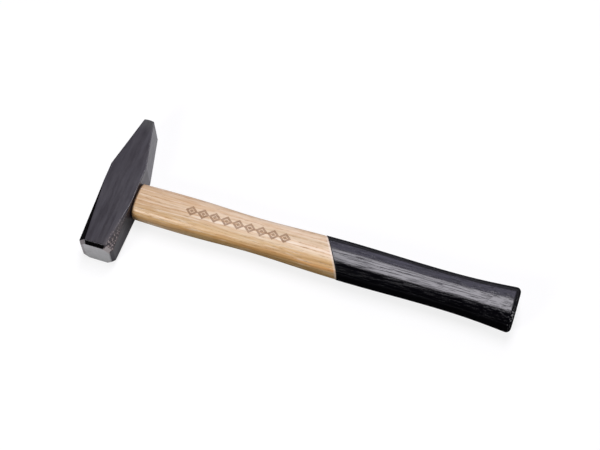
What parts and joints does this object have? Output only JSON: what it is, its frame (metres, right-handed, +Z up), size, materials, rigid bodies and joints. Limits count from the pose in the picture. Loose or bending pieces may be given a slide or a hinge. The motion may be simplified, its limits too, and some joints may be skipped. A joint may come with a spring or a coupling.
{
  "type": "cross peen hammer",
  "caption": "Engineer's hammer: square forged steel head with a flat face and a cross peen, wedged onto a waisted ash handle with a black lacquered grip.",
  "frame": {"origin": "on the lower cheek of the head, straight under the middle of the eye, with the hammer lying on its side", "axes": "+X along the handle from the head to the butt, +Y along the head from the striking face to the peen, +Z up, from the lower cheek to the upper cheek"},
  "size_m": [0.3236, 0.114, 0.0274],
  "materials": {
    "forged_steel": "dark grey lacquer on forged steel, ground bright on the striking face",
    "ash": "clear varnished ash, long straight grain",
    "wedge_wood": "sawn end grain",
    "ring_steel": "plain steel, dulled",
    "black_lacquer": "glossy black dip lacquer over open wood pores"
  },
  "bodies": {
    "root": {"hammer_head": "forged_steel", "handle": "ash", "wood_wedge": "wedge_wood", "ring_wedge": "ring_steel", "grip_lacquer": "black_lacquer"}
  },
  "joints": []
}
